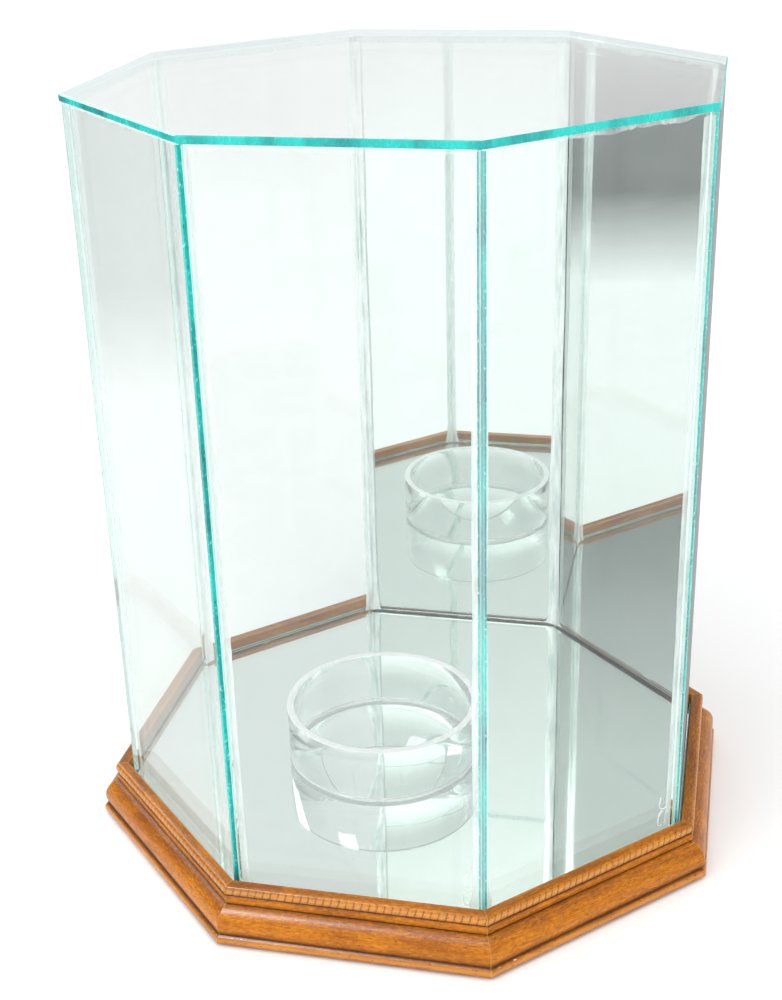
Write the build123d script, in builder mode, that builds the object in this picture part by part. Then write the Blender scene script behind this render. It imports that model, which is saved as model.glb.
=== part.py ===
"""Octagonal football display case: timber base, lift-off glass cover, loose acrylic ring.

The origin is on the surface that the case stands on, under the middle of the base.
+Z is up and -Y is the front. Eight flats repeat every 45 degrees, one facing the front.
"""

import os
from math import cos, radians, sin, sqrt, tan

from build123d import *

os.makedirs("parts", exist_ok=True)

# ---- driving dimensions, millimetres ----
overall_height = 330.0
base_across_flats = 276.0
top_across_flats = 250.0
glass_thickness = 3.0
top_overhang = 0.4           # how far the top glass stands proud of the panels

pad_thickness = 1.2
pad_diameter = 16.0

# Base moulding: heights are above its underside, insets are from its outer face.
moulding_height = 24.5
lip_width = 5.5              # face of the rope bead to the inner face of the lip
rope_inset = 6.4             # base face to the face of the rope-carved bead
fillet_inset = 6.8           # base face to the face of the flat fillet under it
rope_underside = 20.0
thumb_top = 15.8             # where the big round meets the fillet
thumb_radius = 8.1
thumb_centre_height = 8.0
groove_low = 3.5
groove_high = 4.4
groove_inset = 1.5
ledge_width = 11.5           # ledge that carries the board
ledge_thickness = 8.0
edge_round = 0.6             # softened edges of the moulding

board_thickness = 8.8
mirror_thickness = 3.0
drop_in_clearance = 0.3      # board and mirror inside the lip

seal_leg = 2.8               # silicone fillet along each upright corner
top_seal_leg = 2.0           # silicone fillet under the top glass

ring_outer_diameter = 89.0
ring_height = 25.4
ring_wall = 3.2
ring_centre = (-2.3, -17.9)  # the loose ring stands a little forward of the middle

screw_shank_radius = 1.5
screw_head_radius = 2.9
screw_length = 12.0
screw_clearance = 0.2
screw_recess = 0.5

v_nail_leg = 5.0
v_nail_gauge = 0.6
v_nail_height = 7.0
v_nail_radii = (130.0, 139.0)  # two V nails in each mitre, measured from the centre

# ---- derived dimensions ----
side_count = 8
side_step = 360.0 / side_count
half_step = radians(side_step / 2)

base_apothem = base_across_flats / 2
rope_apothem = base_apothem - rope_inset
lip_apothem = rope_apothem - lip_width
ledge_apothem = lip_apothem - ledge_width
moulding_top = pad_thickness + moulding_height
ledge_top = pad_thickness + ledge_thickness
board_top = ledge_top + board_thickness
floor_top = board_top + mirror_thickness
drop_in_apothem = lip_apothem - drop_in_clearance

top_underside = overall_height - glass_thickness
panel_outer_apothem = top_across_flats / 2 - top_overhang
panel_inner_apothem = panel_outer_apothem - glass_thickness
panel_height = top_underside - floor_top
panel_width = 2 * panel_inner_apothem * tan(half_step)
inner_corner_radius = panel_inner_apothem / cos(half_step)

side_names = ("front", "front_right", "right", "back_right",
              "back", "back_left", "left", "front_left")
mirrored_sides = ("back_right", "back", "back_left")


def save(piece, name):
    """Label a finished piece and write its STEP file."""
    piece.part.label = name
    export_step(piece.part, f"parts/{name}.step")


def side_angle(index):
    """Direction, in degrees, that side number index faces; side 0 faces the front."""
    return -90.0 + side_step * index


def section_plane(degrees, height):
    """Upright plane through the centre: its x is outwards at that angle, its y is up."""
    turn = radians(degrees)
    return Plane(
        origin=(0, 0, height),
        x_dir=(cos(turn), sin(turn), 0),
        z_dir=(sin(turn), -cos(turn), 0),
    )


def outward_plane(degrees, height=0.0):
    """Level plane whose x points outwards at that angle."""
    turn = radians(degrees)
    return Plane(origin=(0, 0, height), x_dir=(cos(turn), sin(turn), 0), z_dir=(0, 0, 1))


def octagon(apothem):
    """Regular octagon with flats facing the front, back, left and right."""
    RegularPolygon(radius=apothem, side_count=side_count, major_radius=False,
                   rotation=side_step / 2)


# ---- base: eight mitred rails of one moulding ----
groove_apothem = base_apothem - groove_inset
fillet_apothem = base_apothem - fillet_inset
thumb_centre = fillet_apothem - sqrt(thumb_radius**2 - (thumb_top - thumb_centre_height) ** 2)
thumb_foot = thumb_centre + sqrt(thumb_radius**2 - (groove_high - thumb_centre_height) ** 2)

# x is the distance from the middle of the case, y the height over the moulding's underside
with BuildSketch() as moulding:
    with BuildLine():
        Line((ledge_apothem, 0), (base_apothem - edge_round, 0))
        ThreePointArc(
            (base_apothem - edge_round, 0),
            (base_apothem, groove_low / 2),
            (base_apothem - edge_round, groove_low),
        )
        Polyline(
            (base_apothem - edge_round, groove_low),
            (groove_apothem, groove_low),
            (groove_apothem, groove_high),
            (thumb_foot, groove_high),
        )
        ThreePointArc(
            (thumb_foot, groove_high),
            (thumb_centre + thumb_radius, thumb_centre_height),
            (fillet_apothem, thumb_top),
        )
        Polyline(
            (fillet_apothem, thumb_top),
            (fillet_apothem, rope_underside),
            (rope_apothem, rope_underside),
            (rope_apothem, moulding_height - edge_round),
        )
        ThreePointArc(
            (rope_apothem, moulding_height - edge_round),
            (rope_apothem - 0.3 * edge_round, moulding_height - 0.3 * edge_round),
            (rope_apothem - edge_round, moulding_height),
        )
        Polyline(
            (rope_apothem - edge_round, moulding_height),
            (lip_apothem, moulding_height),
            (lip_apothem, ledge_thickness),
            (ledge_apothem, ledge_thickness),
            (ledge_apothem, 0),
        )
    make_face()


def screw_seat(degrees, height):
    """Plane under a rail where its screw goes in: it faces down, at mid-ledge."""
    turn = radians(degrees)
    reach = ledge_apothem + ledge_width / 2
    return Plane(
        origin=(reach * cos(turn), reach * sin(turn), height),
        x_dir=(cos(turn), sin(turn), 0),
        z_dir=(0, 0, -1),
    )


def make_rail(name, degrees):
    """One rail: the moulding run along a side, mitred at both ends, with a screw hole."""
    reach = 1.2 * base_apothem
    with BuildPart() as rail:
        with BuildSketch(section_plane(degrees, pad_thickness)):
            add(moulding.sketch)
        extrude(amount=reach * tan(half_step), both=True)
        with BuildSketch(outward_plane(degrees)):
            with BuildLine():
                Polyline(
                    (0, 0),
                    (reach, -reach * tan(half_step)),
                    (reach, reach * tan(half_step)),
                    close=True,
                )
            make_face()
        extrude(amount=moulding_top, mode=Mode.INTERSECT)
        with Locations(screw_seat(degrees, pad_thickness)):
            CounterSinkHole(
                radius=screw_shank_radius + screw_clearance,
                counter_sink_radius=screw_head_radius + screw_recess,
                depth=ledge_thickness,
            )
    save(rail, f"base_rail_{name}")


for index, side in enumerate(side_names):
    make_rail(side, side_angle(index))

# ---- base: board and mirror that drop in from above ----
screw_head_low = pad_thickness + screw_recess
screw_tip = screw_head_low + screw_length

with BuildPart() as base_board:
    with BuildSketch(Plane.XY.offset(ledge_top)):
        octagon(drop_in_apothem)
    extrude(amount=board_thickness)
    for index in range(side_count):
        with Locations(screw_seat(side_angle(index), ledge_top)):
            Hole(radius=screw_shank_radius, depth=screw_tip - ledge_top)
save(base_board, "base_board")

with BuildPart() as mirror_floor:
    with BuildSketch(Plane.XY.offset(board_top)):
        octagon(drop_in_apothem)
    extrude(amount=mirror_thickness)
save(mirror_floor, "mirror_floor")

# ---- base: countersunk screws, V nails and felt pads, each a group in one node ----
head_height = screw_head_radius - screw_shank_radius

with BuildPart() as board_screws:
    for index in range(side_count):
        with BuildSketch(screw_seat(side_angle(index), screw_head_low + head_height)):
            Circle(screw_shank_radius)
        extrude(amount=head_height, taper=-45)
        with BuildSketch(screw_seat(side_angle(index), screw_head_low + head_height)):
            Circle(screw_shank_radius)
        extrude(amount=head_height - screw_length)
save(board_screws, "board_screws")


v_leg_x = v_nail_leg * cos(radians(side_step))
v_leg_y = v_nail_leg * sin(radians(side_step))
v_back = v_nail_gauge / sin(radians(side_step))

# open V of constant gauge, its point towards the middle of the case
with BuildSketch() as v_nail:
    with BuildLine():
        Polyline(
            (0, 0),
            (v_leg_x, v_leg_y),
            (v_leg_x + v_back, v_leg_y),
            (v_back, 0),
            (v_leg_x + v_back, -v_leg_y),
            (v_leg_x, -v_leg_y),
            close=True,
        )
    make_face()

with BuildPart() as mitre_v_nails:
    for index in range(side_count):
        corner = side_angle(index) + side_step / 2
        with BuildSketch(outward_plane(corner, pad_thickness)):
            with Locations([(radius, 0) for radius in v_nail_radii]):
                add(v_nail.sketch)
        extrude(amount=v_nail_height)
save(mitre_v_nails, "mitre_v_nails")

pad_circle_radius = (ledge_apothem + base_apothem) / 2 / cos(half_step)

with BuildPart() as felt_pads:
    with BuildSketch(Plane.XY):
        with PolarLocations(pad_circle_radius, side_count // 2, start_angle=side_step / 2):
            Circle(pad_diameter / 2)
    extrude(amount=pad_thickness)
save(felt_pads, "felt_pads")

# ---- cover: eight square-cut panes whose inner edges meet, under one octagon of glass ----
with BuildPart() as top_glass:
    with BuildSketch(Plane.XY.offset(top_underside)):
        octagon(top_across_flats / 2)
    extrude(amount=glass_thickness)
save(top_glass, "top_glass")


def make_pane(name, degrees):
    """One upright pane standing on the mirror floor."""
    with BuildPart() as pane:
        with BuildSketch(outward_plane(degrees, floor_top)):
            with Locations((panel_inner_apothem + glass_thickness / 2, 0)):
                Rectangle(glass_thickness, panel_width)
        extrude(amount=panel_height)
    kind = "mirror_panel" if name in mirrored_sides else "glass_panel"
    save(pane, f"{kind}_{name}")


for index, side in enumerate(side_names):
    make_pane(side, side_angle(index))


def make_corner_seal(number, degrees):
    """Silicone fillet up the inside of one corner, between the floor and the top seal."""
    toe = 0.4 * seal_leg
    leg_in = seal_leg * sin(half_step)
    leg_across = seal_leg * cos(half_step)
    with BuildPart() as seal:
        with BuildSketch(outward_plane(degrees, floor_top)):
            with BuildLine():
                Polyline(
                    (inner_corner_radius - leg_in, -leg_across),
                    (inner_corner_radius, 0),
                    (inner_corner_radius - leg_in, leg_across),
                )
                ThreePointArc(
                    (inner_corner_radius - leg_in, leg_across),
                    (inner_corner_radius - leg_in - toe / 2, 0),
                    (inner_corner_radius - leg_in, -leg_across),
                )
            make_face()
        extrude(amount=panel_height - top_seal_leg)
    save(seal, f"corner_seal_{number}")


for index in range(side_count):
    make_corner_seal(index + 1, side_angle(index) + side_step / 2)

with BuildPart() as top_seal:
    with BuildSketch(Plane.XY.offset(top_underside - top_seal_leg)) as seal_foot:
        octagon(panel_inner_apothem)
    extrude(amount=top_seal_leg)
    with BuildSketch(Plane.XY.offset(top_underside - top_seal_leg)) as seal_low:
        octagon(panel_inner_apothem)
    with BuildSketch(Plane.XY.offset(top_underside)) as seal_high:
        octagon(panel_inner_apothem - top_seal_leg)
    loft(mode=Mode.SUBTRACT)
save(top_seal, "top_seal")

# ---- loose acrylic ring that the football stands in ----
with BuildPart() as football_ring:
    with BuildSketch(Plane.XY.offset(floor_top)):
        with Locations(ring_centre):
            Circle(ring_outer_diameter / 2)
            Circle(ring_outer_diameter / 2 - ring_wall, mode=Mode.SUBTRACT)
    extrude(amount=ring_height)
save(football_ring, "football_ring")
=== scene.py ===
"""Looks of an octagonal football display case: a timber base, a mirror floor, a lift-off
glass cover with mirrored back panels, and a loose clear ring.

Everything is in metres. Each repeated piece is modelled once at the front of the case, and its
copies are turned about the middle in eighths of a circle.
"""

import math
import random

import bmesh
import bpy
from mathutils import Euler, Matrix, Vector, noise


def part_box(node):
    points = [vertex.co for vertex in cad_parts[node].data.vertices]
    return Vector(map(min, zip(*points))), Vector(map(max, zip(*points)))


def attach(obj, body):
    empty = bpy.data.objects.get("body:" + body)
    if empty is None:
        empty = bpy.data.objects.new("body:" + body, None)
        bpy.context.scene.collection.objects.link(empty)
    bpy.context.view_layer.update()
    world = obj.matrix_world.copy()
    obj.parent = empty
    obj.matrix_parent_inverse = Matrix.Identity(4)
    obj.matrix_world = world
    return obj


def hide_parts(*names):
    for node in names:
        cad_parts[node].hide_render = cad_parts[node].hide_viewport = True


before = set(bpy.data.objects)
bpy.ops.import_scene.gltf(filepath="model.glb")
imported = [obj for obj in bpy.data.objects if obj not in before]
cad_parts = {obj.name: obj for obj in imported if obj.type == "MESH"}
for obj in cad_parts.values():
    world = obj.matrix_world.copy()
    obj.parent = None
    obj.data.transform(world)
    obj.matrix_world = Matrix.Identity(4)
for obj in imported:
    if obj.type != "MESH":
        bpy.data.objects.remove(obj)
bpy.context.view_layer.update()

MM = 0.001
SIDES = ("front", "front_right", "right", "back_right",
         "back", "back_left", "left", "front_left")
MIRRORED = ("back_right", "back", "back_left")
EIGHTH = math.radians(45.0)
SLOPE = math.tan(EIGHTH / 2)


# ------------------------------------------------------------------ camera and light

def place_camera(azimuth, elevation, roll, distance, aside, height, lens):
    """Camera that looks at a point beside the upright middle line of the case."""
    bearing, lift = math.radians(azimuth), math.radians(elevation)
    across = Vector((math.cos(bearing), math.sin(bearing), 0.0))
    towards = Vector((math.sin(bearing) * math.cos(lift),
                      -math.cos(bearing) * math.cos(lift), math.sin(lift)))
    camera = bpy.data.objects.new("camera", bpy.data.cameras.new("camera"))
    bpy.context.scene.collection.objects.link(camera)
    camera.data.lens = lens
    camera.data.sensor_width = 36.0
    camera.location = across * aside + Vector((0.0, 0.0, height)) + towards * distance
    level = Euler((math.pi / 2 - lift, 0.0, bearing)).to_matrix()
    camera.rotation_euler = (level @ Matrix.Rotation(math.radians(roll), 3, "Z")).to_euler()
    bpy.context.scene.camera = camera


def soft_box(name, place, aim, width, height, watts):
    """Rectangular studio light, aimed at a point; mirrors and glass don't show it."""
    lamp = bpy.data.lights.new(name, "AREA")
    lamp.shape = "RECTANGLE"
    lamp.size, lamp.size_y = width, height
    lamp.energy = watts
    box = bpy.data.objects.new(name, lamp)
    bpy.context.scene.collection.objects.link(box)
    box.visible_glossy = box.visible_transmission = False
    box.location = place
    box.rotation_euler = (Vector(aim) - Vector(place)).to_track_quat("-Z", "Y").to_euler()
    return box


# ------------------------------------------------------------------ materials

class Value:
    """A socket of a material, that adds and scales like a number."""

    def __init__(self, finish, socket):
        self.finish = finish
        self.socket = socket

    def maths(self, operation, first, second=0.0):
        return self.finish.node("Math", {"operation": operation}, {0: first, 1: second})

    def __add__(self, other):
        return self.maths("ADD", self, other)

    __radd__ = __add__

    def __sub__(self, other):
        return self.maths("SUBTRACT", self, other)

    def __mul__(self, other):
        return self.maths("MULTIPLY", self, other)

    __rmul__ = __mul__

    def __truediv__(self, other):
        return self.maths("DIVIDE", self, other)

    def __pow__(self, other):
        return self.maths("POWER", self, other)


class Finish:
    """The nodes of one material, or of the world, built one by one."""

    def __init__(self, name, owners=bpy.data.materials):
        self.owner = owners.new(name)
        self.owner.use_nodes = True
        self.tree = self.owner.node_tree
        self.tree.nodes.clear()

    def node(self, kind, settings=None, sockets=None, out=0):
        """Adds a node: its settings first, then the values or links of its sockets."""
        made = self.tree.nodes.new("ShaderNode" + kind)
        for name, value in (settings or {}).items():
            if name == "stops":
                self.set_stops(made.color_ramp, value)
            else:
                setattr(made, name, value)
        for name, value in (sockets or {}).items():
            if isinstance(value, Value):
                self.tree.links.new(value.socket, made.inputs[name])
            else:
                made.inputs[name].default_value = value
        return Value(self, made.outputs[out]) if len(made.outputs) else made

    @staticmethod
    def set_stops(ramp, stops):
        while len(ramp.elements) < len(stops):
            ramp.elements.new(0.5)
        for element, (place, colour) in zip(ramp.elements, stops):
            element.position = place
            element.color = colour

    def place(self, stretch=(1.0, 1.0, 1.0), shift=(0.0, 0.0, 0.0), attribute=None):
        """Coordinates for a pattern: the piece's own, or an attribute that follows it."""
        if attribute:
            start = self.node("Attribute", {"attribute_name": attribute}, out="Vector")
        else:
            start = self.node("TexCoord", out="Object")
        return self.node("Mapping", None, {"Vector": start, "Location": shift, "Scale": stretch})

    def measure(self, attribute):
        """A number that the mesh carries."""
        return self.node("Attribute", {"attribute_name": attribute}, out="Fac")

    def axis(self, attribute, letter):
        """One coordinate of an attribute."""
        return self.node("SeparateXYZ", None, {"Vector": self.place(attribute=attribute)},
                         out=letter)

    def clouds(self, where, scale, detail=3.0, roughness=0.55, distortion=0.0):
        """Soft random shading from 0 to 1."""
        return self.node("TexNoise", None, {"Vector": where, "Scale": scale, "Detail": detail,
                                            "Roughness": roughness, "Distortion": distortion})

    def ramp(self, value, *stops):
        """A number looked up between (place, number) stops."""
        colours = [(place, (level, level, level, 1.0)) for place, level in stops]
        return self.node("ValToRGB", {"stops": colours}, {"Fac": value})

    def span(self, value, low, high, start=0.0, end=1.0):
        """A number scaled from low..high to start..end, and held there."""
        return self.node("MapRange", None, {"Value": value, "From Min": low, "From Max": high,
                                            "To Min": start, "To Max": end})

    def mix(self, share, first, second, how="MIX"):
        """Two colours mixed, multiplied or screened."""
        settings = {"data_type": "RGBA", "blend_type": how}
        return self.node("Mix", settings, {0: share, 6: first, 7: second}, out=2)

    def bump(self, height, depth, strength=1.0):
        """Normal of a surface with that relief, its depth in metres."""
        return self.node("Bump", None, {"Height": height, "Distance": depth,
                                        "Strength": strength})

    def coat(self, **sockets):
        """The all-round shader; a socket's name has _ for a space."""
        names = {name.replace("_", " "): value for name, value in sockets.items()}
        return self.node("BsdfPrincipled", None, names)

    def finish_with(self, shader, output="OutputMaterial"):
        self.node(output, None, {"Surface": shader})
        return self.owner


def colour(red, green, blue):
    return (red, green, blue, 1.0)


def stained_wood():
    """Honey walnut stain over close-grained wood, with dark glazing left in the hollows and painted
    shade there too; worn edges with a painted highlight; glazing and painted shade in the rope's
    cuts.
    """
    f = Finish("stained_wood")
    fibre = f.clouds(f.place((70.0, 1500.0, 1500.0), attribute="grain"), 1.0, 4.0, 0.6, 0.5)
    figure = f.clouds(f.place((34.0, 130.0, 130.0), attribute="grain"), 1.0, 3.0, 0.5, 0.8)
    mottle = f.clouds(f.place((420.0, 1250.0, 1250.0), attribute="grain"), 1.0, 4.0, 0.70)
    speck = f.clouds(f.place((620.0, 2300.0, 2300.0), attribute="grain"), 1.0, 2.0, 0.5)
    pore = f.span(speck, 0.63, 0.70)
    honey = f.mix(f.span(figure, 0.32, 0.66), colour(0.305, 0.074, 0.003),
                  colour(0.595, 0.186, 0.003))
    honey = f.mix(f.span(fibre, 0.40, 0.70, 0.0, 0.35), honey, colour(0.760, 0.320, 0.010))
    honey = f.mix(f.span(mottle, 0.46, 0.68, 0.0, 0.52), honey, colour(0.200, 0.042, 0.002))
    honey = f.mix(f.span(mottle, 0.44, 0.30, 0.0, 0.45), honey, colour(0.780, 0.330, 0.022))
    # Darker in the hollows and near the thumb's edges: dark glazing and painted shade.
    glaze_shade_mask = f.span(f.measure("hollow") + 0.45 * (mottle - 0.5), 0.12, 0.85)
    toned = f.mix(glaze_shade_mask * 0.92, honey, colour(0.046, 0.011, 0.002))
    # Paler on the edges: wear and a painted highlight.
    worn_and_highlit = f.span(f.measure("edge") + 0.6 * (mottle - 0.5), 0.35, 1.0)
    toned = f.mix(worn_and_highlit * 0.70, toned, colour(0.700, 0.350, 0.110))
    # Dark slanted lines in the rope's carved cuts: glazing and painted shade.
    lean = ROPE_LEAN * (f.axis("grain", "Z") - (ROPE_LOW + LIP_TOP) / 2) / (LIP_TOP - ROPE_LOW)
    turns = (f.axis("grain", "X") + BASE_APOTHEM * SLOPE) / ROPE_PITCH - lean
    cut = f.span(turns.maths("ABSOLUTE", turns.maths("FRACT", turns) - 0.5), 0.34, 0.46)
    cut = cut * f.measure("rope") * f.span(mottle, 0.35, 0.6, 0.3, 0.75)
    toned = f.mix(cut, toned, colour(0.110, 0.030, 0.006))
    toned = f.mix(pore * 0.75, toned, colour(0.035, 0.009, 0.002))
    filler = f.span(f.measure("mitre") + 0.5 * (fibre - 0.5), 0.55, 0.8)
    toned = f.mix(filler * 0.35, toned, colour(0.700, 0.400, 0.150))
    bare = f.span(f.measure("chip") * mottle, 0.40, 0.46)
    toned = f.mix(bare, toned, colour(0.850, 0.740, 0.600))
    relief = fibre * 0.35 + mottle * 0.2 - pore * 0.6 - bare * 0.8
    gloss = f.span(glaze_shade_mask, 0.0, 1.0, 0.34, 0.50) + 0.12 * (mottle - 0.5)
    shader = f.coat(Base_Color=toned, Roughness=gloss, Coat_Weight=0.40, Coat_Roughness=0.24,
                    Coat_IOR=1.36, IOR=1.24, Normal=f.bump(relief, 0.10 * MM, 0.5))
    return f.finish_with(shader)


def see_through(f, tint, mirror_rough, least=0.04, most=0.9):
    """Thin clear sheet: what isn't mirrored, more at a slant, passes straight on."""
    slant = f.node("LayerWeight", None, {"Blend": 0.5}, out="Facing")
    share = least + (most - least) * slant ** 5.0
    through = f.node("BsdfTransparent", None, {"Color": tint})
    mirrored = f.node("BsdfAnisotropic", None, {"Color": colour(1.0, 1.0, 1.0),
                                                "Roughness": mirror_rough})
    return f.node("MixShader", None, {0: share, 1: through, 2: mirrored})


def clear_glass(name, tint):
    """Face of a float glass pane, with the faint smears of wiping by hand."""
    f = Finish(name)
    smear = f.clouds(f.place((9.0, 9.0, 22.0)), 1.0, 5.0, 0.65, 1.5)
    rough = f.span(smear, 0.45, 0.8, 0.0, 0.09)
    body = see_through(f, tint, rough)
    haze = f.coat(Base_Color=colour(0.9, 0.93, 0.92), Roughness=0.6)
    dust = f.clouds(f.place((700.0, 700.0, 700.0)), 1.0, 2.0, 0.5)
    film = f.span(smear, 0.4, 0.85, 0.0, 0.035) + 0.25 * f.span(dust, 0.74, 0.80)
    return f.finish_with(f.node("MixShader", None, {0: film, 1: body, 2: haze}))


def ground_edge(name, pale, shine):
    """Ground edge of float glass, blue-green from outside and a mirror from inside the sheet.

    The blue-green has a painted glow and pale flecks of painted glint, and at a slant it pales to a
    cloudy tone with a painted glow, a painted reflection.
    pale is how far it turns cloudy at a slant; shine is how glossy and mirror-like it is, and how
    strong its nicks and painted glints are.
    """
    f = Finish(name)
    streak = f.clouds(f.place((60.0, 60.0, 22.0)), 1.0, 3.0, 0.55)
    nicks_and_glints = f.clouds(f.place((900.0, 900.0, 520.0)), 1.0, 3.0, 0.7)
    teal = f.mix(f.span(streak, 0.36, 0.62), colour(0.000, 0.215, 0.210),
                 colour(0.008, 0.500, 0.450))
    # Pale flecks on the nicks: painted glints.
    teal = f.mix(f.span(nicks_and_glints, 0.60, 0.70) * (0.1 + 0.7 * shine), teal, colour(0.55, 0.92, 0.90))
    teal = f.mix(f.span(nicks_and_glints, 0.40, 0.30) * (0.2 + 0.5 * shine), teal, colour(0.0, 0.10, 0.10))
    # The emission is a painted glow.
    ground = f.coat(Base_Color=teal, Roughness=f.span(nicks_and_glints, 0.3, 0.7, 0.15, 0.35),
                    IOR=1.5 + 0.3 * shine, Coat_Weight=shine, Coat_Roughness=0.12,
                    Coat_IOR=1.6, Emission_Color=teal, Emission_Strength=0.2,
                    Normal=f.bump(nicks_and_glints, 0.10 * MM, 0.4))
    within = f.node("BsdfAnisotropic", None, {"Color": colour(0.80, 0.925, 0.895),
                                              "Roughness": f.span(nicks_and_glints, 0.3, 0.7, 0.02, 0.12)})
    slant = f.node("LayerWeight", None, {"Blend": 0.5}, out="Facing")
    # At a slant the edge pales to a cloudy tone that glows: painted reflection and painted glow.
    slant_glow_tone = f.mix(0.62, teal, colour(0.66, 0.86, 0.85))
    slant_glow = f.coat(Base_Color=slant_glow_tone, Roughness=0.25, Emission_Color=slant_glow_tone,
                   Emission_Strength=0.25)
    paled = f.node("MixShader", None, {0: f.span(slant, 0.27, 0.47, 0.0, pale),
                                       1: ground, 2: slant_glow})
    through = f.node("BsdfTransparent", None, {"Color": colour(0.76, 0.88, 0.88)})
    behind = f.node("MixShader", None, {0: 0.3 + 0.7 * shine, 1: through, 2: within})
    inside = f.node("NewGeometry", out="Backfacing")
    return f.finish_with(f.node("MixShader", None, {0: inside, 1: paled, 2: behind}))


def mirror_front():
    """Polished face of the mirror glass, deep enough to set the silver back from it."""
    f = Finish("mirror_front")
    smear = f.clouds(f.place((12.0, 12.0, 25.0)), 1.0, 5.0, 0.65, 1.2)
    shader = f.coat(Base_Color=colour(0.955, 0.985, 0.970), IOR=1.45, Transmission_Weight=1.0,
                    Roughness=f.span(smear, 0.5, 0.85, 0.0, 0.05))
    return f.finish_with(shader)


def silver():
    """Silvering seen through the glass."""
    f = Finish("silver")
    where = f.place((30.0, 30.0, 30.0))
    tone = f.mix(f.clouds(where, 1.0), colour(0.890, 0.920, 0.907), colour(0.92, 0.94, 0.93))
    rough = f.span(f.clouds(where, 1.0), 0.3, 0.7, 0.0, 0.02)
    return f.finish_with(f.coat(Base_Color=tone, Metallic=1.0, Roughness=rough))


def backing_paint():
    """Grey protective paint over silvering, rolled on."""
    f = Finish("backing_paint")
    stipple = f.clouds(f.place((900.0, 900.0, 900.0)), 1.0, 3.0, 0.6)
    sweep = f.clouds(f.place((20.0, 20.0, 5.0)), 1.0, 3.0)
    tone = f.mix(sweep, colour(0.150, 0.158, 0.165), colour(0.215, 0.222, 0.228))
    shader = f.coat(Base_Color=tone, Roughness=f.span(stipple, 0.3, 0.7, 0.35, 0.55),
                    Normal=f.bump(stipple, 0.08 * MM, 0.6))
    return f.finish_with(shader)


def silicone(name, thinnest, thickest):
    """Cloudy clear silicone, tooled by hand: its body hides that much of what is behind, and its
    cloudy part has a painted glow.
    """
    f = Finish(name)
    cloud = f.clouds(f.place((260.0, 260.0, 40.0)), 1.0, 4.0, 0.6)
    through = f.node("BsdfTransparent", None, {"Color": colour(0.95, 0.97, 0.965)})
    # The emission is a painted glow that lightens the cloudy silicone.
    milk_glow = f.coat(Base_Color=f.mix(cloud, colour(0.80, 0.83, 0.82), colour(0.96, 0.97, 0.965)),
                  Roughness=0.22, Emission_Color=colour(0.80, 0.84, 0.83),
                  Emission_Strength=0.28, Normal=f.bump(cloud, 0.25 * MM, 0.5))
    body = f.span(cloud, 0.3, 0.7, thinnest, thickest)
    return f.finish_with(f.node("MixShader", None, {0: body, 1: through, 2: milk_glow}))


def acrylic():
    """Polished wall of clear acrylic tube."""
    f = Finish("acrylic")
    scuff = f.clouds(f.place((60.0, 60.0, 400.0)), 1.0, 3.0)
    shader = f.coat(Base_Color=colour(0.975, 0.985, 0.985), IOR=1.49,
                    Roughness=f.span(scuff, 0.5, 0.8, 0.0, 0.06), Transmission_Weight=1.0)
    return f.finish_with(shader)


def sawn_acrylic():
    """Frosted rim where the tube was sawn, with a painted glow."""
    f = Finish("sawn_acrylic")
    saw = f.clouds(f.place((1400.0, 260.0, 1400.0)), 1.0, 3.0, 0.6)
    tone = f.mix(saw, colour(0.40, 0.41, 0.41), colour(0.62, 0.63, 0.63))
    # The emission is a painted glow that lightens the rims.
    shader = f.coat(Base_Color=tone, Roughness=f.span(saw, 0.2, 0.8, 0.25, 0.55),
                    Emission_Color=tone, Emission_Strength=0.65,
                    Normal=f.bump(saw, 0.1 * MM, 0.6))
    return f.finish_with(shader)


def fibreboard():
    """Raw fibreboard: flat brown with a felted speckle."""
    f = Finish("fibreboard")
    speckle = f.clouds(f.place((1100.0, 1100.0, 1100.0)), 1.0, 4.0, 0.7)
    sweep = f.clouds(f.place((14.0, 14.0, 14.0)), 1.0, 3.0)
    tone = f.mix(speckle, colour(0.235, 0.140, 0.070), colour(0.420, 0.285, 0.165))
    tone = f.mix(sweep * 0.3, tone, colour(0.500, 0.370, 0.240))
    shader = f.coat(Base_Color=tone, Roughness=0.85, Normal=f.bump(speckle, 0.12 * MM, 0.5))
    return f.finish_with(shader)


def zinc():
    """Bright zinc plate with a faint yellow bloom."""
    f = Finish("zinc")
    bloom = f.clouds(f.place((420.0, 420.0, 420.0)), 1.0, 4.0, 0.6)
    tone = f.mix(bloom, colour(0.60, 0.60, 0.58), colour(0.78, 0.76, 0.68))
    shader = f.coat(Base_Color=tone, Metallic=1.0, Roughness=f.span(bloom, 0.3, 0.7, 0.22, 0.42))
    return f.finish_with(shader)


def felt():
    """Dark brown pressed felt."""
    f = Finish("felt")
    fuzz = f.clouds(f.place((2600.0, 2600.0, 2600.0)), 1.0, 4.0, 0.75)
    tone = f.mix(fuzz, colour(0.030, 0.018, 0.011), colour(0.110, 0.072, 0.046))
    shader = f.coat(Base_Color=tone, Roughness=0.95, Sheen_Weight=0.5, Sheen_Roughness=0.4,
                    Normal=f.bump(fuzz, 0.3 * MM, 0.8))
    return f.finish_with(shader)


def pale_floor():
    """Plain pale studio table."""
    f = Finish("pale_floor")
    sweep = f.clouds(f.place((1.5, 1.5, 1.5)), 1.0, 2.0)
    tone = f.mix(sweep, colour(0.96, 0.965, 0.965), colour(0.98, 0.98, 0.98))
    return f.finish_with(f.coat(Base_Color=tone, Roughness=0.7))


# ------------------------------------------------------------------ bench tools

def deselect():
    bpy.ops.object.select_all(action="DESELECT")


def make_active(piece):
    deselect()
    piece.select_set(True)
    bpy.context.view_layer.objects.active = piece


def new_piece(name, kind, **how):
    """A primitive added at its size and place, as a piece whose object is at the origin."""
    deselect()
    getattr(bpy.ops.mesh, f"primitive_{kind}_add")(**how)
    piece = bpy.context.active_object
    piece.name = name
    piece.data.name = name
    bpy.ops.object.transform_apply(location=True, rotation=True, scale=True)
    return piece


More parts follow.
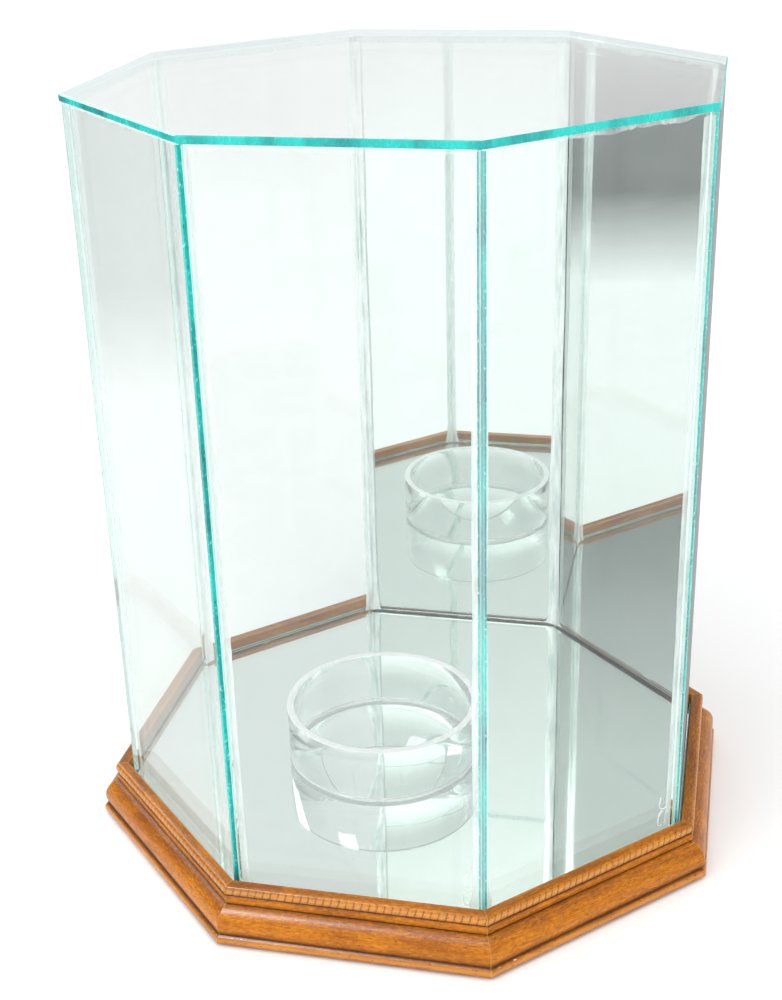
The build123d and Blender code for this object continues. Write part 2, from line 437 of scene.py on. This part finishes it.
class Bench:
    """Edit mode on one piece; elements are picked by their place or normal."""

    def __init__(self, piece):
        self.piece = piece

    def __enter__(self):
        make_active(self.piece)
        bpy.ops.object.mode_set(mode="EDIT")
        bpy.ops.mesh.select_all(action="DESELECT")
        return self

    def __exit__(self, *failure):
        bpy.ops.object.mode_set(mode="OBJECT")

    def pick(self, what, wanted):
        """Selects the verts, edges or faces for which wanted(element) is true."""
        bpy.ops.mesh.select_mode(type={"verts": "VERT", "edges": "EDGE", "faces": "FACE"}[what])
        bpy.ops.mesh.select_all(action="DESELECT")
        mesh = bmesh.from_edit_mesh(self.piece.data)
        for element in getattr(mesh, what):
            element.select_set(bool(wanted(element)))
        mesh.select_flush_mode()
        bmesh.update_edit_mesh(self.piece.data)

    def move(self, step):
        bpy.ops.transform.translate(value=step)

    def drop(self, what):
        bpy.ops.mesh.delete(type=what)

    def tidy_normals(self):
        bpy.ops.mesh.select_all(action="SELECT")
        bpy.ops.mesh.remove_doubles(threshold=0.001 * MM)
        bpy.ops.mesh.normals_make_consistent(inside=False)


def rise(edge):
    """How far an edge climbs."""
    return abs(edge.verts[0].co.z - edge.verts[1].co.z)


def run(edge):
    """How far an edge goes along x."""
    return abs(edge.verts[0].co.x - edge.verts[1].co.x)


def nudge(piece, shift):
    """Moves each vertex by what shift(place) gives: hand work too fine for the tools."""
    for vertex in piece.data.vertices:
        vertex.co += Vector(shift(vertex.co))
    piece.data.update()


def add_modifier(piece, kind, **settings):
    make_active(piece)
    modifier = piece.modifiers.new(kind.lower(), kind)
    for name, value in settings.items():
        setattr(modifier, name, value)
    bpy.ops.object.modifier_apply(modifier=modifier.name)


def twin_of(piece, name):
    """A copy with its own mesh."""
    twin = piece.copy()
    twin.data = piece.data.copy()
    twin.name = name
    twin.data.name = name
    bpy.context.scene.collection.objects.link(twin)
    return twin


def turn(piece, eighths):
    """Turns a piece about the middle of the case, by eighths of a circle."""
    make_active(piece)
    piece.rotation_euler = (0.0, 0.0, eighths * EIGHTH)
    bpy.ops.object.transform_apply(location=False, rotation=True, scale=False)
    return piece


def bin_piece(piece):
    bpy.data.objects.remove(piece)


def join(piece, *others):
    make_active(piece)
    for other in others:
        other.select_set(True)
    bpy.ops.object.join()
    return piece


def paint(piece, *materials):
    piece.data.materials.clear()
    for material in materials:
        piece.data.materials.append(material)


def paint_faces(piece, number, wanted):
    for face in piece.data.polygons:
        if wanted(face):
            face.material_index = number


def smooth(piece, degrees=35.0):
    make_active(piece)
    bpy.ops.object.shade_smooth_by_angle(angle=math.radians(degrees))


def fit(piece, body, slot, *nodes):
    """Puts a finished piece on its body, in place of the CAD nodes that it stands for."""
    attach(piece, body)
    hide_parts(*nodes)


# ------------------------------------------------------------------ base moulding

rail_low, rail_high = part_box("base_rail_front")
BASE_APOTHEM = -rail_low.y
LEDGE_APOTHEM = -rail_high.y
NAIL_SHOW = 0.05 * MM                 # how far the V nails stand proud of the underside
RAIL_FOOT = rail_low.z + NAIL_SHOW
LEDGE_WIDTH = 11.5 * MM               # the ledge that carries the board
SCREW_STATION = LEDGE_APOTHEM + LEDGE_WIDTH / 2
LIP_TOP = rail_high.z
MITRE_GAP = 0.03 * MM
ROPE_PITCH = 3.17 * MM
ROPE_DEPTH = 0.22 * MM
ROPE_LEAN = 0.35                      # how far a carved cut leans along the rail, over its height
ROPE_LOW = RAIL_FOOT + 20.4 * MM
ROPE_FACE = BASE_APOTHEM - 6.4 * MM
# Inset and height of each line darkened by glazing and painted shade, with its reach and strength,
# mm. The narrow lines are the hollows; the wide ones are painted shade near the thumb's top and
# bottom edges and at the foot, and a darker top band.
GLAZE_SHADE_LINES = ((1.5, 4.0, 0.75, 1.0), (7.0, 16.0, 0.5, 1.0), (7.3, 19.9, 0.6, 1.0),
           (1.4, 5.0, 2.0, 0.40), (4.8, 15.0, 2.6, 0.34), (0.6, 0.0, 1.0, 0.4),
           (9.3, 24.5, 2.2, 0.40))
# The same for each edge painted paler: worn pale by handling, with a painted highlight.
WORN_AND_HIGHLIT_LINES = ((0.2, 2.0, 1.5, 0.85), (6.4, 22.3, 1.8, 1.0), (11.7, 24.5, 0.5, 0.9))


def moulding_outline():
    """Section of the moulding as (inset from its face, height over its foot), in mm."""
    thumb = []
    steps = 12
    centre_inset, centre_height, radius = 8.95, 8.0, 8.1
    start = math.atan2(4.5 - centre_height, 7.25)
    end = math.atan2(15.7 - centre_height, 2.2)
    for step in range(steps + 1):
        angle = start + (end - start) * step / steps
        thumb.append((centre_inset - radius * math.cos(angle),
                      centre_height + radius * math.sin(angle)))
    bead = [(0.9, 0.0), (0.3, 0.25), (0.05, 0.9), (0.0, 1.8), (0.15, 2.8), (0.6, 3.4)]
    groove = [(1.35, 3.6), (1.6, 3.95), (1.6, 4.3)]
    step_up = [(6.9, 15.85), (6.85, 16.1), (6.7, 16.5), (6.65, 17.6), (6.7, 18.9), (7.0, 19.4)]
    rope = [(7.35, 19.7), (7.3, 20.1), (6.8, 20.4), (6.5, 20.9), (6.4, 21.7), (6.4, 22.6),
            (6.55, 23.4), (6.95, 24.0), (7.5, 24.35), (8.1, 24.42)]
    lip = [(8.5, 24.5), (10.0, 24.5), (11.1, 24.5), (11.5, 24.4), (11.8, 24.2), (11.9, 23.8)]
    inside = [(11.9, 8.0), (23.4, 8.0), (23.4, 0.0)]
    return bead + groove + thumb + step_up + rope + lip + inside


def model_rail():
    """The front rail: one carved length of moulding repeated, then mitred at both ends."""
    outline = [(-BASE_APOTHEM + inset * MM, RAIL_FOOT + height * MM)
               for inset, height in moulding_outline()]
    start = -BASE_APOTHEM * SLOPE - ROPE_PITCH
    piece = new_piece("rail", "plane", size=MM, location=(start, 0.0, 0.0))
    with Bench(piece) as bench:
        bpy.ops.mesh.select_all(action="SELECT")
        bpy.ops.mesh.merge(type="CENTER")
        bench.move(Vector((0.0, *outline[0])))
        for before, after in zip(outline, outline[1:]):
            bpy.ops.mesh.extrude_region_move(TRANSFORM_OT_translate={
                "value": (0.0, after[0] - before[0], after[1] - before[1])})
        ends = (outline[0], outline[-1])
        bench.pick("verts", lambda vert: any(
            math.hypot(vert.co.y - y, vert.co.z - z) < 0.01 * MM for y, z in ends))
        bpy.ops.mesh.edge_face_add()
        bpy.ops.mesh.select_all(action="SELECT")
        bpy.ops.mesh.extrude_region_move(
            TRANSFORM_OT_translate={"value": (ROPE_PITCH, 0.0, 0.0)})
        bench.pick("edges", lambda edge: run(edge) > 0.5 * ROPE_PITCH)
        bpy.ops.mesh.subdivide(number_cuts=3)
    carve_rope(piece, start)
    add_modifier(piece, "ARRAY", count=math.ceil(-2 * start / ROPE_PITCH),
                 use_merge_vertices=True, merge_threshold=0.01 * MM,
                 use_relative_offset=False, use_constant_offset=True,
                 constant_offset_displace=(ROPE_PITCH, 0.0, 0.0))
    with Bench(piece) as bench:
        bench.tidy_normals()
        for side in (-1.0, 1.0):
            bpy.ops.mesh.select_all(action="SELECT")
            bpy.ops.mesh.bisect(plane_co=(-side * MITRE_GAP, 0.0, 0.0),
                                plane_no=(side, SLOPE, 0.0),
                                use_fill=True, clear_outer=True)
        bench.tidy_normals()
    return piece


def carve_rope(piece, start):
    """Slanted cuts across the bead, one to each repeat, deepest on its face."""
    bead_back = -ROPE_FACE + 0.8 * MM
    shares = (1.0, 0.3, 0.0, 0.3)     # of the full depth, at the stations of one repeat

    def cut(place):
        height = (place.z - ROPE_LOW) / (LIP_TOP - ROPE_LOW)
        if place.y > bead_back or not -0.02 < height < 1.02:
            return (0.0, 0.0, 0.0)
        station = round((place.x - start) / (ROPE_PITCH / 4)) % 4
        depth = shares[station] * ROPE_DEPTH
        fade = math.sin(math.pi * min(max(height, 0.05), 0.95))
        lean = ROPE_LEAN * ROPE_PITCH * (height - 0.5)
        return (lean, depth * fade, -0.4 * depth * fade * height)
    nudge(piece, cut)


def bore_screw_hole(piece):
    """Countersunk hole from under the middle of the ledge."""
    mouth, bore, sink, below, drill = 3.9 * MM, 1.7 * MM, 2.2 * MM, 0.5 * MM, 9.0 * MM
    cutter = new_piece("cutter", "cone", vertices=24, radius1=mouth, radius2=bore, depth=sink,
                       location=(0.0, -SCREW_STATION, RAIL_FOOT + sink / 2 - below))
    with Bench(cutter) as bench:
        bench.pick("faces", lambda face: face.normal.z > 0.9)
        bpy.ops.mesh.extrude_region_move(TRANSFORM_OT_translate={"value": (0.0, 0.0, drill)})
    add_modifier(piece, "BOOLEAN", operation="DIFFERENCE", object=cutter, solver="EXACT")
    bin_piece(cutter)


def mark_rail(piece, shift, seed):
    """Stores on the mesh what the stain follows: grain, glazing and painted shade in the hollows,
    worn edges with a painted highlight, rope, mitres, chips.
    """
    spots = random.Random(seed)
    near_mitre, chip_sizes = (0.044, 0.056), (0.7, 1.3)
    chip_inset, chip_height = 0.9, 3.4
    rope_back, rope_foot = 7.3, 20.3
    filler_width = 0.35 * MM
    chips = [(spots.choice((-1, 1)) * spots.uniform(*near_mitre), spots.uniform(*chip_sizes))
             for _ in range(2)]
    mesh = piece.data
    grain, marks = [], {name: [] for name in ("hollow", "edge", "rope", "mitre", "chip")}
    for vertex in mesh.vertices:
        x, y, z = vertex.co
        inset, height = (y + BASE_APOTHEM) / MM, (z - RAIL_FOOT) / MM
        # Glazing with painted shade in the hollows, wear with a painted highlight on the edges.
        hollow, edge = (max(strength * math.exp(-math.hypot(inset - in_at, height - up_at) ** 2
                                                / reach ** 2)
                            for in_at, up_at, reach, strength in lines)
                        for lines in (GLAZE_SHADE_LINES, WORN_AND_HIGHLIT_LINES))
        on_rope = height > rope_foot and inset < rope_back
        chip = max(math.exp(-((x - at) * 450.0) ** 2 - ((inset - chip_inset) / 0.8) ** 2
                            - ((height - chip_height) / size) ** 2) for at, size in chips)
        grain += (x + shift, y, z)
        marks["hollow"].append(0.0 if on_rope else hollow)
        marks["rope"].append(float(on_rope))
        marks["edge"].append(edge)
        marks["mitre"].append(math.exp(-((abs(y) * SLOPE - abs(x)) / filler_width) ** 2))
        marks["chip"].append(chip)
    mesh.attributes.new("grain", "FLOAT_VECTOR", "POINT").data.foreach_set("vector", grain)
    for name, values in marks.items():
        mesh.attributes.new(name, "FLOAT", "POINT").data.foreach_set("value", values)


# ------------------------------------------------------------------ glass

pane_low, pane_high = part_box("glass_panel_front")
PANE_HALF = (pane_high.x - pane_low.x) / 2
PANE_THICK = pane_high.y - pane_low.y
ARRIS = 0.45 * MM                     # the small flat ground along every glass edge
SLACK = 0.03 * MM                     # hairline between touching sheets
CORNER_EASE = 0.9 * MM                # rounding at the corners of an octagon of sheet glass
TALL, WIDE = 100 * MM, 50 * MM        # only a sheet's own edges are longer than these


def ragged(place, seed, size):
    """A hand-ground unevenness, the same for the same place."""
    return size * noise.noise(Vector((place.x * 400, place.y * 400, place.z * 400 + seed)))


def model_pane(name, seed):
    """The front pane: square cut, every edge seamed by hand, so no edge line is quite true."""
    slack = Vector((0.0, 0.0, SLACK))
    low, high = pane_low + slack, pane_high - slack
    middle = (low + high) / 2
    piece = new_piece(name, "cube", size=1.0, location=middle, scale=high - low)
    with Bench(piece) as bench:
        bpy.ops.mesh.select_all(action="SELECT")
        bpy.ops.mesh.bevel(offset=ARRIS, segments=1, affect="EDGES")
        bench.pick("edges", lambda edge: rise(edge) > TALL)
        bpy.ops.mesh.subdivide(number_cuts=95)
    face_gap = PANE_THICK / 2 - SLACK
    end_margin, unevenness = 1.5 * MM, 0.3 * MM

    def wander(place):
        if not low.z + end_margin < place.z < high.z - end_margin:
            return (0.0, 0.0, 0.0)
        wobble = abs(ragged(place, seed, unevenness))
        if abs(place.y - middle.y) > face_gap:
            return (-math.copysign(wobble, place.x), 0.0, 0.0)
        return (0.0, -math.copysign(wobble, place.y - middle.y), 0.0)
    nudge(piece, wander)
    return piece


def paint_pane(piece, *materials):
    """Clear on its faces, ground on its edges; a third finish is for the outer face.

    Its foot is polished and its head is bonded, so neither shows against the next sheet.
    """
    paint(piece, *materials)
    silvered = len(materials) > 2
    edge_area = 100 * MM * MM         # more than any face of an edge, less than one of a side
    for face in piece.data.polygons:
        if not pane_low.z + MM < face.center.z < pane_high.z - MM:
            face.material_index = 0
        elif face.area < edge_area:
            face.material_index = 1
        elif silvered and face.center.y < (pane_low.y + pane_high.y) / 2:
            face.material_index = 2
        else:
            face.material_index = 0


def model_octagon(name, node, seed):
    """An octagon of sheet glass with a seamed rim, from the box of its CAD node."""
    low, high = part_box(node)
    low.z += SLACK
    middle = Vector((0.0, 0.0, (low.z + high.z) / 2))
    piece = new_piece(name, "cylinder", vertices=8, depth=high.z - low.z, location=middle,
                      radius=high.x / math.cos(EIGHTH / 2),
                      rotation=(0.0, 0.0, EIGHTH / 2), end_fill_type="NGON")
    with Bench(piece) as bench:
        bench.pick("edges", lambda edge: rise(edge) > MM)
        bpy.ops.mesh.bevel(offset=CORNER_EASE, segments=3, affect="EDGES")
        bench.pick("edges", lambda edge: rise(edge) < MM)
        bpy.ops.mesh.bevel(offset=ARRIS, segments=1, affect="EDGES")
        bench.pick("edges", lambda edge: (edge.verts[0].co - edge.verts[1].co).length > WIDE)
        bpy.ops.mesh.subdivide(number_cuts=40)

    def wander(place):
        if low.z + SLACK < place.z < high.z - SLACK:
            return (0.0, 0.0, 0.0)
        inward = -Vector((place.x, place.y, 0.0)).normalized()
        return inward * abs(ragged(place, seed, 0.25 * MM))
    nudge(piece, wander)
    return piece


def paint_octagon(piece, above, below, rim):
    paint(piece, above, below, rim)
    for face in piece.data.polygons:
        face.material_index = 2 if abs(face.normal.z) < 0.98 else int(face.normal.z < 0)


def model_film():
    """Backing paint on the front pane's outer face, a little short of its edges."""
    gap, film, margin = 0.02 * MM, 0.10 * MM, 0.8 * MM
    piece = new_piece("film", "cube", size=1.0,
                      location=(0.0, pane_low.y - gap - film / 2, (pane_low.z + pane_high.z) / 2),
                      scale=(2 * (PANE_HALF - margin), film,
                             pane_high.z - pane_low.z - 2 * margin))
    with Bench(piece) as bench:
        bench.pick("edges", lambda edge: rise(edge) > TALL)
        bpy.ops.mesh.subdivide(number_cuts=80)
        bench.pick("edges", lambda edge: run(edge) > WIDE)
        bpy.ops.mesh.subdivide(number_cuts=1)

    def wander(place):
        if abs(place.x) < PANE_HALF / 2:
            return (0.0, 0.0, 0.0)
        return (ragged(place * 0.4, 5.0, 0.5 * MM), 0.0, 0.0)
    nudge(piece, wander)
    return piece


# ------------------------------------------------------------------ silicone

seal_low, seal_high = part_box("corner_seal_1")
ALONG_FRONT = Vector((-1.0, 0.0, 0.0))
ALONG_NEXT = Vector((math.cos(EIGHTH), math.sin(EIGHTH), 0.0))
SEAL_LEG = 3.3 * MM                   # width of the fillet along each pane
# Section of the fillet, as shares of its leg along the front pane and along the next one.
FILLET = ((0.0, 0.0), (1.0, 0.0), (0.58, 0.12), (0.32, 0.32), (0.12, 0.58), (0.0, 1.0))
CURLED = (2, 3)                       # corners whose feet keep curls of silicone


def model_corner_seal(name, seed):
    """Fillet up the first inside corner, drawn along by a finger: its feathered toes wander."""
    corner = Vector((PANE_HALF, pane_high.y, 0.0)) + SLACK * (ALONG_FRONT + ALONG_NEXT)
    piece = new_piece(name, "cylinder", vertices=len(FILLET), radius=MM,
                      depth=seal_high.z - seal_low.z - 2 * SLACK, end_fill_type="NGON",
                      location=(0.0, 0.0, (seal_low.z + seal_high.z) / 2))
    with Bench(piece) as bench:
        bench.pick("edges", lambda edge: rise(edge) > TALL)
        bpy.ops.mesh.subdivide(number_cuts=100)

    def draw(place):
        spoke = round(math.atan2(place.x, place.y) / math.tau * len(FILLET)) % len(FILLET)
        share, other_share = FILLET[spoke]
        up = Vector((0.0, 0.0, place.z))
        front_leg = SEAL_LEG * (1.0 + ragged(up * 0.04, seed, 0.22) + ragged(up, seed, 0.05))
        next_leg = SEAL_LEG * (1.0 + ragged(up * 0.04, seed + 9, 0.22) + ragged(up, seed + 5, 0.05))
        foot = 1.0 + (0.5 + ragged(up, seed, 0.8)) * math.exp(-(place.z - seal_low.z) / (5 * MM))
        target = (corner + ALONG_FRONT * share * front_leg * foot
                  + ALONG_NEXT * other_share * next_leg * foot)
        return (target.x - place.x, target.y - place.y, 0.0)
    nudge(piece, draw)
    with Bench(piece) as bench:
        bench.tidy_normals()
    return piece


def model_curl(along, height, radius, opening, seed):
    """A thread of spare silicone curled off a corner; its gap faces the corner, tilted up."""
    middle = (Vector((PANE_HALF, pane_high.y, seal_low.z + height))
              + ALONG_FRONT * along + (ALONG_FRONT + ALONG_NEXT) * 2.0 * MM)
    gap = Vector((math.cos(opening), 0.0, math.sin(opening)))
    piece = new_piece("curl", "torus", major_radius=radius, minor_radius=0.27 * MM,
                      major_segments=48, minor_segments=8, location=middle,
                      rotation=(math.pi / 2, 0.0, 0.2))
    with Bench(piece) as bench:
        bench.pick("faces", lambda face: gap.dot(face.calc_center_median() - middle)
                   > 0.15 * radius)
        bench.drop("FACE")
        bpy.ops.mesh.select_all(action="SELECT")
        bpy.ops.mesh.fill_holes(sides=0)
        bench.tidy_normals()

    def crumple(place):
        away = place - middle
        pinch = Vector((-0.2 * away.x, 0.0, 0.0))
        return pinch + Vector((0.2, 1.0, 0.5)) * ragged(place * 0.4, seed, 1.0 * MM)
    nudge(piece, crumple)
    return piece


def model_top_fillet():
    """Fillet under the top glass, along the front pane; it droops unevenly."""
    low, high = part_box("top_seal")
    reach, belly, aside, steps = 2.2 * MM, 0.42, 0.5 * MM, 70
    top, face_y = high.z - SLACK, pane_high.y + SLACK
    piece = new_piece("fillet", "cylinder", vertices=4, radius=MM, depth=2 * PANE_HALF,
                      end_fill_type="NGON", location=(0.0, face_y, top),
                      rotation=(0.0, math.pi / 2, 0.0))
    with Bench(piece) as bench:
        bench.pick("edges", lambda edge: run(edge) > WIDE)
        bpy.ops.mesh.subdivide(number_cuts=steps)

    def droop(place):
        inward, down = place.y - face_y > aside, top - place.z > aside
        upward, back = place.z - top > aside, face_y - place.y > aside
        along = Vector((place.x, 0.0, 0.0))
        sag = reach * (1.0 + ragged(along * 0.25, 3.0, 0.9) + ragged(along, 1.0, 0.4))
        if down:
            y, z = face_y, top - sag
        elif inward:
            y, z = face_y + belly * reach, top - belly * sag
        elif upward:
            y, z = face_y + reach, top
        elif back:
            y, z = face_y, top
        else:
            return (0.0, 0.0, 0.0)
        slant = (y - pane_high.y) * SLOPE * place.x / PANE_HALF
        return (-slant, y - place.y, z - place.z)
    nudge(piece, droop)
    with Bench(piece) as bench:
        bench.tidy_normals()
    return piece


# ------------------------------------------------------------------ ring, screws and pads

RING_WALL = 3.2 * MM
PAD_RADIUS = 8.0 * MM


def model_ring():
    """Length of clear tube, sawn square, with the sharp edge taken off each rim."""
    low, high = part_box("football_ring")
    lift = Vector((0.0, 0.0, SLACK))
    middle = (low + lift + high) / 2
    outer = (high.x - low.x) / 2
    piece = new_piece("clear_ring", "cylinder", vertices=144, radius=outer,
                      depth=high.z - low.z - SLACK, end_fill_type="NGON", location=middle)
    with Bench(piece) as bench:
        bench.pick("faces", lambda face: abs(face.normal.z) > 0.9)
        bpy.ops.mesh.inset(thickness=RING_WALL)
        bpy.ops.mesh.bridge_edge_loops()
        bench.tidy_normals()
        bench.pick("edges", lambda edge: rise(edge) < MM
                   and edge.is_manifold and abs(edge.calc_face_angle(0.0)) > 1.0)
        bpy.ops.mesh.bevel(offset=0.3 * MM, segments=2, affect="EDGES")
    return piece


def model_screws():
    """Countersunk wood screw up through the ledge, with a cross recess, once in each rail."""
    low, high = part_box("board_screws")
    head, shank, point = 2.9 * MM, 1.5 * MM, 0.4 * MM
    middle = -SCREW_STATION
    screw = new_piece("screw", "cone", vertices=16, radius1=head, radius2=shank,
                      depth=head - shank, location=(0.0, middle, low.z + (head - shank) / 2))
    with Bench(screw) as bench:
        bench.pick("faces", lambda face: face.normal.z > 0.9)
        bpy.ops.mesh.extrude_region_move(
            TRANSFORM_OT_translate={"value": (0.0, 0.0, high.z - low.z - head)})
        bpy.ops.mesh.extrude_region_move(
            TRANSFORM_OT_translate={"value": (0.0, 0.0, shank)})
        bpy.ops.transform.resize(value=(point / shank, point / shank, 1.0))
        bench.pick("faces", lambda face: face.normal.z < -0.9)
        bpy.ops.mesh.inset(thickness=head * 0.5)
        bpy.ops.mesh.extrude_region_move(TRANSFORM_OT_translate={"value": (0.0, 0.0, 0.9 * MM)})

    def cross(place):
        away = Vector((place.x, place.y - middle, 0.0))
        if away.length > head * 0.52 or place.z > low.z + MM:
            return (0.0, 0.0, 0.0)
        quarter = round(math.atan2(away.y, away.x) / math.tau * 16) % 4
        return away * (0.0 if quarter == 0 else -0.62)
    nudge(screw, cross)
    screws = [turn(twin_of(screw, "screw"), number) for number in range(1, 8)]
    return join(screw, *screws)


def model_pads():
    """Felt disc under every other corner, its cut edge a little frayed."""
    low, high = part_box("felt_pads")
    reach = (high.x - PAD_RADIUS) / math.cos(EIGHTH / 2)
    place = Vector((math.cos(EIGHTH / 2), math.sin(EIGHTH / 2), 0.0)) * reach
    pad = new_piece("pad", "cylinder", vertices=48, radius=PAD_RADIUS - 0.2 * MM,
                    depth=high.z - low.z, location=place + Vector((0.0, 0.0, high.z / 2)))
    with Bench(pad) as bench:
        bench.pick("edges", lambda edge: rise(edge) < 0.1 * MM)
        bpy.ops.mesh.bevel(offset=0.25 * MM, segments=2, affect="EDGES")
        bench.pick("faces", lambda face: abs(face.normal.z) > 0.99)
        bpy.ops.mesh.inset(thickness=2.0 * MM)
        bpy.ops.mesh.inset(thickness=2.5 * MM)

    def fray(spot):
        away = Vector((spot.x - place.x, spot.y - place.y, 0.0))
        return away.normalized() * ragged(spot * 6.0, 2.0, 0.3 * MM)
    nudge(pad, fray)
    pads = [turn(twin_of(pad, "pad"), number) for number in (2, 4, 6)]
    return join(pad, *pads)


# ------------------------------------------------------------------ make and fit every piece

def build_base():
    wood = stained_wood()
    rail = model_rail()
    bore_screw_hole(rail)
    for number, side in enumerate(SIDES):
        twin = twin_of(rail, f"rail_{side}")
        mark_rail(twin, 117 * ROPE_PITCH * number, number)
        turn(twin, number)
        paint(twin, wood)
        smooth(twin, 40.0)
        fit(twin, "base", "stained_wood", f"base_rail_{side}")
    bin_piece(rail)

    floor = model_octagon("floor_mirror", "mirror_floor", 4.0)
    paint_octagon(floor, mirror_front(), silver(), ground_edge("floor_edge", 0.5, 1.0))
    fit(floor, "base", "mirror_glass", "mirror_floor")

    screws = model_screws()
    screws.name = "wood_screws"
    paint(screws, zinc())
    smooth(screws)
    fit(screws, "base", "steel", "board_screws")

    pads = model_pads()
    pads.name = "felt_discs"
    paint(pads, felt())
    smooth(pads, 50.0)
    fit(pads, "base", "felt", "felt_pads")

    paint(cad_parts["base_board"], fibreboard())
    paint(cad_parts["mitre_v_nails"], zinc())


def build_cover():
    face = clear_glass("pane_face", colour(0.950, 0.967, 0.962))
    edge = ground_edge("pane_edge", 0.85, 1.0)
    top_edge = ground_edge("top_edge", 0.0, 0.0)
    front, back, backing = mirror_front(), silver(), backing_paint()
    seal = silicone("silicone", 0.25, 0.68)
    spare = silicone("spare_silicone", 0.80, 0.95)
    thin = silicone("thin_silicone", 0.06, 0.35)
    pane = model_pane("pane", 11.0)
    film = model_film()
    for number, side in enumerate(SIDES):
        if side in MIRRORED:
            sheet = twin_of(pane, f"mirrored_pane_{side}")
            paint_pane(sheet, front, edge, back)
            coat = twin_of(film, "film")
            paint(coat, backing)
            join(sheet, coat)
            turn(sheet, number)
            fit(sheet, "glass_cover", "mirror_glass", f"mirror_panel_{side}")
        else:
            sheet = twin_of(pane, f"clear_pane_{side}")
            paint_pane(sheet, face, edge)
            turn(sheet, number)
            fit(sheet, "glass_cover", "clear_glass", f"glass_panel_{side}")
    bin_piece(pane)
    bin_piece(film)

    top = model_octagon("top_sheet", "top_glass", 8.0)
    paint_octagon(top, face, face, top_edge)
    fit(top, "glass_cover", "clear_glass", "top_glass")

    for number in range(8):
        fillet = model_corner_seal(f"corner_fillet_{number + 1}", 3.0 * number)
        paint(fillet, seal)
        if number + 1 in CURLED:
            curls = (model_curl(3.6 * MM, 4.8 * MM, 3.9 * MM, 0.0, number),
                     model_curl(2.6 * MM, 13.5 * MM, 4.4 * MM, 1.0, number + 20))
            for curl in curls:
                paint(curl, spare)
            join(fillet, *curls)
        turn(fillet, number)
        smooth(fillet, 60.0)
        fit(fillet, "glass_cover", "silicone", f"corner_seal_{number + 1}")

    fillet = model_top_fillet()
    fillet.name = "top_fillet"
    join(fillet, *[turn(twin_of(fillet, "fillet"), number) for number in range(1, 8)])
    paint(fillet, thin)
    smooth(fillet, 60.0)
    fit(fillet, "glass_cover", "silicone", "top_seal")


def build_ring():
    ring = model_ring()
    paint(ring, acrylic(), sawn_acrylic())
    paint_faces(ring, 1, lambda face: abs(face.normal.z) > 0.3)
    smooth(ring, 50.0)
    fit(ring, "ring", "acrylic", "football_ring")


def black_flag():
    """Dark studio card that only the mirrors and the glass see, for depth in them."""
    width, height, bearing = 0.42, 0.54, math.radians(123)
    card = new_piece("flag", "plane", size=1.0, location=(-0.53, -0.35, height / 2),
                     scale=(width, height, 1.0), rotation=(math.pi / 2, 0.0, bearing))
    f = Finish("flag")
    where = f.node("SeparateXYZ", None, {"Vector": f.node("TexCoord", out="Object")}, out="Z")
    cloth = f.coat(Base_Color=colour(0.055, 0.060, 0.062), Roughness=0.9)
    clear = f.node("BsdfTransparent")
    cover = f.ramp(where / height, (0.02, 0.0), (0.18, 0.93), (0.45, 0.85), (1.0, 0.25))
    paint(card, f.finish_with(f.node("MixShader", None, {0: cover, 1: clear, 2: cloth})))
    card.visible_camera = card.visible_diffuse = card.visible_shadow = False


def build_studio():
    """Pale table, white surroundings and large soft lights."""
    table = new_piece("table", "circle", vertices=96, radius=7.0, fill_type="NGON",
                      location=(0.0, 0.0, -0.1 * MM))
    paint(table, pale_floor())
    aim = (0.0, 0.0, 0.12)
    soft_box("key", (0.35, -1.5, 1.35), aim, 1.1, 1.1, 7.0)
    soft_box("fill", (1.7, 0.1, 0.9), aim, 0.9, 1.3, 3.0)
    for name, place, watts in (("side_sheen", (-0.97, -0.20, 0.88), 6.0),
                               ("front_sheen", (0.08, -0.82, 1.06), 24.0)):
        sheen = soft_box(name, place, aim, 0.42, 0.42, watts)
        # These two light nothing but the shine on the wood and glass.
        sheen.visible_diffuse, sheen.visible_glossy = False, True
    black_flag()
    sky = Finish("studio", bpy.data.worlds)
    over = sky.node("VectorMath", {"operation": "DOT_PRODUCT"},
                    {0: sky.node("TexCoord", out="Generated"),
                     1: Vector((0.36, -0.22, 0.91))}, out="Value")
    level = sky.node("MapRange", {"interpolation_type": "SMOOTHSTEP"},
                     {"Value": over, "From Min": 0.75, "From Max": 1.0,
                      "To Min": 0.93, "To Max": 1.8})
    seen = sky.node("LightPath", out="Is Camera Ray")
    glow = sky.node("Background", None, {"Color": colour(1.0, 1.0, 1.0),
                                         "Strength": level + 0.1 * seen})
    bpy.context.scene.world = sky.finish_with(glow, "OutputWorld")


build_base()
build_cover()
build_ring()
build_studio()
place_camera(azimuth=57.905, elevation=24.280, roll=-1.597, distance=0.7014,
             aside=-0.0098, height=0.1449, lens=56.74)

look = bpy.context.scene
look.view_settings.view_transform = "Standard"
look.cycles.max_bounces = 24
look.cycles.glossy_bounces = 12
look.cycles.transmission_bounces = 20
look.cycles.transparent_max_bounces = 48
